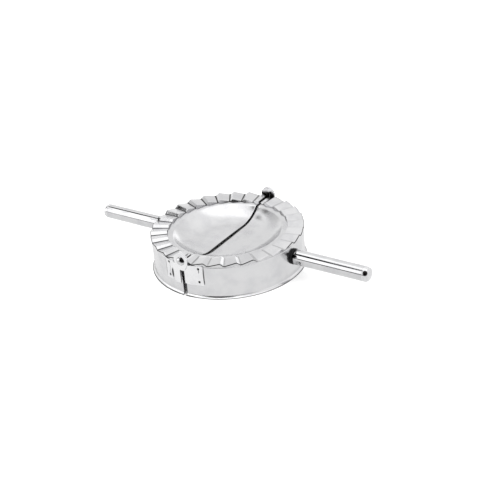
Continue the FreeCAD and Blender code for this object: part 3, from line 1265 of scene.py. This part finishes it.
@dataclass
class Studio:
    """The white floor, the soft light, the camera and what the metal reflects.

    Attributes:
        azimuth: the camera's place round the press, in degrees from -Y towards +X.
        elevation: the camera's height, in degrees.
        distance_mm: the camera's distance from the press's origin.
        focal_pixels: the lens's focal length, in pixels of the photograph.
        frame_pixels: the photograph's width and height.
        aim_pixel: where the origin lies in the photograph.
        roll: the camera's roll, in degrees.
        clip_share: how near the camera sees, as a share of its distance.
        floor_mm: the floor's width.
        paper_colour: the floor's colour to all but the camera.
        paper_fade: how far out the lift below is full, as a share of the wall's radius.
        key_power: the soft overhead light's power.
        key_spread: how wide the overhead light is, in degrees.
        key_tilt: how far it leans to the back left, in degrees.
        fill: brightness of the light from all round.
        paper_lift: how much of the floor's own light the metal sees, so that the walls stay even.
        horizon_level: what the metal sees just over the floor.
        horizon_span: the height of the direction at which that has faded out, and at which it is full.
        low_level: what it sees a little higher.
        high_level: what it sees halfway up.
        high_span: the height at which the one starts to go over into the other, and at which it has.
        sheet_level: what it sees in the bright sheet overhead.
        sheet_edge: square to the plane where that sheet ends, on its bright side.
        sheet_fade: how soft its edge is there.
        sheet_side: how far the sheet reaches along +X, as a share of the direction.
        side_fade: how soft its edge is there, to each side.
        cards: soft patches that the metal sees, light or dark, each over the ones before it.
    """

    azimuth: float = 36.561
    elevation: float = 29.367
    distance_mm: float = 628.76
    focal_pixels: float = 1027.209
    frame_pixels: float = 500.0
    aim_pixel: tuple[float, float] = (230.31, 258.53)
    roll: float = -5.54
    clip_share: float = 0.02
    floor_mm: float = 6000.0
    paper_colour: str = "#D2D2D2"
    paper_fade: float = 1.1
    key_power: float = 2.6
    key_spread: float = 120.0
    key_tilt: float = 4.0
    fill: float = 0.9
    paper_lift: float = 0.85
    horizon_level: float = 1.2
    horizon_span: tuple[float, float] = (0.28, 0.16)
    low_level: float = 1.02
    high_level: float = 1.2
    high_span: tuple[float, float] = (0.5, 0.75)
    sheet_level: float = 1.7
    sheet_edge: tuple[float, float, float] = (0.0, -0.95, 0.31)
    sheet_fade: float = 0.06
    sheet_side: float = 0.55
    side_fade: float = 0.05
    cards: Sequence[Card] = field(default_factory=lambda: (
        Card(towards=(-0.90, 0.0, 0.45), inner=14.0, outer=20.0, level=0.78),
        Card(towards=(-0.12, 0.99, 0.06), inner=10.0, outer=15.0, level=1.7),
        Card(towards=(-0.71, -0.21, 0.67), inner=9.5, outer=13.0, level=0.0, squeeze=(2.3, 1.0, 1.0)),
        Card(towards=(-0.50, -0.31, 0.81), inner=9.0, outer=12.0, level=0.0, squeeze=(2.3, 1.0, 1.0)),
        Card(towards=(-0.435, -0.395, 0.809), inner=7.0, outer=12.0, level=0.0, squeeze=(2.5, 1.0, 1.0)),
        Card(towards=(-0.603, 0.127, 0.787), inner=6.0, outer=10.0, level=0.0, squeeze=(2.5, 1.0, 1.0)),
        Card(towards=(0.25, -0.87, 0.43), inner=17.0, outer=25.0, level=0.0),
        Card(towards=(0.25, -0.96, 0.09), inner=6.0, outer=9.0, level=0.1, squeeze=(0.13, 0.13, 1.0)),
    ))

    def camera(self) -> None:
        """Makes the camera at the photograph's place, turned so that the origin falls on its pixel."""
        turn, rise, roll = (math.radians(angle) for angle in (self.azimuth, self.elevation, self.roll))
        back = Vector((math.sin(turn) * math.cos(rise), -math.cos(turn) * math.cos(rise), math.sin(rise)))
        level = Vector((math.cos(turn), math.sin(turn), 0))
        upright = back.cross(level)
        right = math.cos(roll) * level + math.sin(roll) * upright
        up = math.cos(roll) * upright - math.sin(roll) * level
        middle = self.frame_pixels / 2
        pan = math.atan((self.aim_pixel[0] - middle) / self.focal_pixels)
        tilt = math.atan((middle - self.aim_pixel[1]) / self.focal_pixels * math.cos(pan))
        level_turn = Matrix.Rotation(pan, 3, "Y")
        rise_turn = Matrix.Rotation(-tilt, 3, "X")
        aimed = level_turn @ rise_turn @ Matrix((right, up, -back))
        axes = Matrix((aimed[0], aimed[1], -aimed[2])).transposed()
        data = bpy.data.cameras.new("photograph_camera")
        data.sensor_fit = "HORIZONTAL"
        data.lens = self.focal_pixels / self.frame_pixels * data.sensor_width
        data.clip_start = self.distance_mm * MM * self.clip_share
        camera = bpy.data.objects.new("photograph_camera", data)
        camera.matrix_world = Matrix.Translation(back * self.distance_mm * MM) @ axes.to_4x4()
        bpy.context.scene.collection.objects.link(camera)
        bpy.context.scene.camera = camera

    def floor(self) -> None:
        """Makes the white floor, which keeps the press's shadow."""
        mesh = bmesh.new()
        bmesh.ops.create_grid(mesh, x_segments=1, y_segments=1, size=self.floor_mm * MM / 2)
        floor = as_object(mesh, "studio_floor")
        material, tree, _, place = new_material("matt_white_paper")
        tree.nodes.remove(tree.nodes["Principled BSDF"])
        white = linear("#FFFFFF")
        bright = add_node(tree, "ShaderNodeBsdfDiffuse", {"Color": white}).outputs[0]
        plain = add_node(tree, "ShaderNodeBsdfDiffuse", {"Color": linear(self.paper_colour)}).outputs[0]
        own = add_node(tree, "ShaderNodeEmission", {"Color": white, "Strength": 1.0}).outputs[0]
        path = add_node(tree, "ShaderNodeLightPath").outputs
        foot = SHARED.wall_radius * MM
        far = vectors(tree, "LENGTH", place)
        lift = ramp(tree, far, (foot, foot * self.paper_fade), (0.0, self.paper_lift))
        share = numbers(tree, "MULTIPLY", lift, path["Is Glossy Ray"])
        even = add_node(tree, "ShaderNodeMixShader", {0: share, 1: plain, 2: own}).outputs[0]
        shown = add_node(tree, "ShaderNodeMixShader", {0: path["Is Camera Ray"], 1: even, 2: bright}).outputs[0]
        tree.links.new(shown, tree.nodes["Material Output"].inputs["Surface"])
        floor.data.materials.append(material)

    def key(self) -> None:
        """Makes the large soft light overhead."""
        data = bpy.data.lights.new("overhead_light", "SUN")
        data.energy = self.key_power
        data.angle = math.radians(self.key_spread)
        key = bpy.data.objects.new("overhead_light", data)
        key.rotation_euler = (-math.radians(self.key_tilt), -math.radians(self.key_tilt), 0)
        key.visible_glossy = False
        bpy.context.scene.collection.objects.link(key)

    def surroundings(self) -> None:
        """Makes the world: white to the camera, even to matt things, and sheets and cards to the metal."""
        world = bpy.data.worlds.new("soft_studio")
        world.use_nodes = True
        tree = world.node_tree
        tree.nodes.clear()
        path = add_node(tree, "ShaderNodeLightPath").outputs
        direction = add_node(tree, "ShaderNodeTexCoord").outputs["Generated"]
        white = linear("#FFFFFF")
        even, reflected, plain = (
            add_node(tree, "ShaderNodeBackground", {"Color": white, "Strength": level}).outputs[0]
            for level in (self.fill, self.mirrored_level(tree, direction), 1.0)
        )
        seen, mirrored = path["Is Camera Ray"], path["Is Glossy Ray"]
        lit = add_node(tree, "ShaderNodeMixShader", {0: mirrored, 1: even, 2: reflected}).outputs[0]
        shown = add_node(tree, "ShaderNodeMixShader", {0: seen, 1: lit, 2: plain}).outputs[0]
        add_node(tree, "ShaderNodeOutputWorld", {"Surface": shown})
        bpy.context.scene.world = world

    def mirrored_level(self, tree: Tree, direction: Socket) -> Socket:
        """Works out how bright the world is to the metal.

        Args:
            tree: the world's tree.
            direction: the direction that the metal looks in.

        Returns:
            The brightness.
        """
        parts = add_node(tree, "ShaderNodeSeparateXYZ", {0: direction}).outputs
        level = ramp(tree, parts["Z"], self.high_span, (self.low_level, self.high_level))
        level = self.patched(tree, level, parts["Z"], self.horizon_span, self.horizon_level)
        over = vectors(tree, "DOT_PRODUCT", direction, Vector(self.sheet_edge).normalized())
        side, fade = self.sheet_side, self.side_fade
        sheet = numbers(tree, "MULTIPLY", ramp(tree, parts["X"], (side + fade, side - fade)), over)
        level = self.patched(tree, level, sheet, (0.0, self.sheet_fade), self.sheet_level)
        for card in self.cards:
            away = vectors(tree, "SUBTRACT", direction, Vector(card.towards).normalized())
            far = vectors(tree, "LENGTH", vectors(tree, "MULTIPLY", away, card.squeeze))
            faded, full = (2 * math.sin(math.radians(angle) / 2) for angle in (card.outer, card.inner))
            level = self.patched(tree, level, far, (faded, full), card.level)
        return level

    def patched(
        self, tree: Tree, level: Socket, value: Socket, span: tuple[float, float], patch: float
    ) -> Socket:
        """Mixes a patch of another brightness, full at the second end of a span, into the brightness so far."""
        mask = ramp(tree, value, span, smooth=True)
        return add_node(tree, "ShaderNodeMix", {0: mask, 2: level, 3: patch}).outputs[0]

    def build(self) -> None:
        """Makes all of the studio."""
        bpy.context.scene.view_settings.view_transform = "Standard"
        self.camera()
        self.floor()
        self.key()
        self.surroundings()


def dress_hidden_nodes(metal: bpy.types.Material) -> None:
    """Gives the screws and the inserts, which stay as they are, a turned steel finish.

    Args:
        metal: the turned steel.
    """
    for half in Half:
        for name in ("handle_screw", "handle_insert"):
            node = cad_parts[half.node(name)]
            for slot in node.material_slots:
                slot.material = metal


def main() -> None:
    """Builds the studio and the press, sub-assembly by sub-assembly."""
    logging.basicConfig(level=logging.INFO, format="%(name)s: %(message)s")
    Studio().build()
    seam, wall, handle = SHARED.half_seam, SHARED.wall_radius, SHARED.handle_height
    wall_metal = StainlessFinish(
        name="stainless_sheet_wall",
        grain=Grain.ROUND_THE_WALL,
        colour="#DBDBDC",
        smear_colour="#D3D3D5",
        clean_roughness=0.17,
        stains_and_shade=(
            # Painted shade on the wall's end faces, in the slot at the seam.
            Mark(place_mm=(seam, wall, 9.0), size_mm=(0.7, 3.0, 13.0)),
            # Painted contact shade along the foot's lower edge.
            PaintedShadeBand(middle_mm=0.0, full_mm=0.1, faded_mm=0.4),
        ),
    ).build()
    bowl_metal = StainlessFinish(
        name="stainless_sheet_bowl",
        grain=Grain.ACROSS_THE_SHEET,
        clean_roughness=0.19,
        dull_roughness=0.29,
        wave_depth_mm=0.006,
        # Painted shade along both bowls' edges at the seam gap.
        stains_and_shade=(Mark(place_mm=(0.0, -6.0, 15.0), size_mm=(1.7, 40.0, 9.0), mirrored=False),),
    ).build()
    rim_metal = StainlessFinish(
        name="stainless_sheet_stamped_rim",
        line_mm=0.5,
        stains_and_shade=(
            # Painted shade on the rim's outer edge, under the overhanging teeth, left off over one stretch of
            # each half.
            PaintedRimEdgeShade(radius_mm=46.02, blend_mm=0.03, unshaded_mm=16.5, reach_mm=8.5),
            # Painted shade in the creases at the foot of the teeth, heavier towards -X.
            PaintedCreaseShade(teeth=ToothedRim.teeth, place=0.135, full=0.035, faded=0.07, thin=0.25, fade_mm=15.0),
        ),
    ).build()
    leaf_metal = StainlessFinish(
        name="stainless_strip_hinge",
        colour="#EDEDEE",
        smear_colour="#E3E3E5",
        grain=Grain.ROUND_THE_WALL,
        stains_and_shade=(
            Mark(place_mm=(10.3, 45.4, 10.6), size_mm=(0.9, 1.4, 0.9)),
            Mark(place_mm=(10.3, 45.4, 19.1), size_mm=(0.9, 1.4, 0.9)),
            # Painted shade along the leaves' outer ends, in the gap beside the wall.
            Mark(place_mm=(13.1, 44.4, 14.5), size_mm=(0.4, 2.0, 7.0), depth=0.85),
            # Painted shade in the slit along the bend of the left front leaf.
            Mark(place_mm=(-7.7, -46.2, 12.7), size_mm=(1.2, 2.2, 3.8), mirrored=False),
            # Painted shade on the inner faces of the back hinge's ears and leaves.
            Mark(place_mm=(0.0, wall, SHARED.skirt_height), size_mm=(12.0, 0.9, 6.4), mirrored=False),
        ),
    ).build()
    tube_metal = StainlessFinish(
        name="stainless_tube_polished",
        grain=Grain.ALONG_THE_HANDLE,
        clean_roughness=0.06,
        dull_roughness=0.14,
        stains_and_shade=(
            # Painted shade round the right tube's root, next to the washer.
            Mark(place_mm=(47.2, 0.0, handle), size_mm=(1.6, 9.0, 9.0), mirrored=False),
            # Painted dark reflection on the upper front of the right tube, near its root.
            Mark(place_mm=(48.3, -3.8, 15.4), size_mm=(2.6, 1.5, 1.2), mirrored=False),
            # Painted shade on the underside of the right tube, near its root.
            Mark(place_mm=(48.6, -3.3, 9.7), size_mm=(3.2, 1.3, 1.0), depth=0.9, mirrored=False),
        ),
    ).build()
    turned_metal = StainlessFinish(
        name="stainless_turned",
        colour="#DCDCDD",
        smear_colour="#D4D4D6",
        clean_roughness=0.08,
        dull_roughness=0.2,
        smear_mm=2.0,
        # Painted dark reflection on the end of the right handle's cap.
        stains_and_shade=(Mark(place_mm=(94.4, -3.6, 15.6), size_mm=(2.0, 1.8, 2.0), mirrored=False),),
    ).build()
    rivet_metal = StainlessFinish(
        name="stainless_rivet_headed",
        clean_roughness=0.08,
        dull_roughness=0.2,
        smear_mm=2.0,
        stains_and_shade=(
            # Painted shade on the rivets' inner ends.
            Mark(place_mm=(0.0, 45.8, 23.0), size_mm=(3.0, 0.75, 3.0)),
            # Painted dark reflection on the upper right of the front rivet's head.
            Mark(place_mm=(2.0, -48.2, 24.6), size_mm=(2.3, 2.3, 2.3), mirrored=False),
        ),
    ).build()
    rubber = RubberFinish().build()
    for half in Half:
        Shell(half).build(wall_metal, bowl_metal)
        ToothedRim(half).build(rim_metal)
        for name in ("front_hinge_leaf", "back_hinge_leaf"):
            HingeLeaf(half, name).build(leaf_metal)
        Handle(half).build(tube_metal, turned_metal, rubber)
    Rivet(Half.LEFT, "front_hinge_rivet").build(rivet_metal)
    Rivet(Half.RIGHT, "back_hinge_rivet").build(rivet_metal)
    dress_hidden_nodes(turned_metal)


if __name__ == "__main__":
    main()
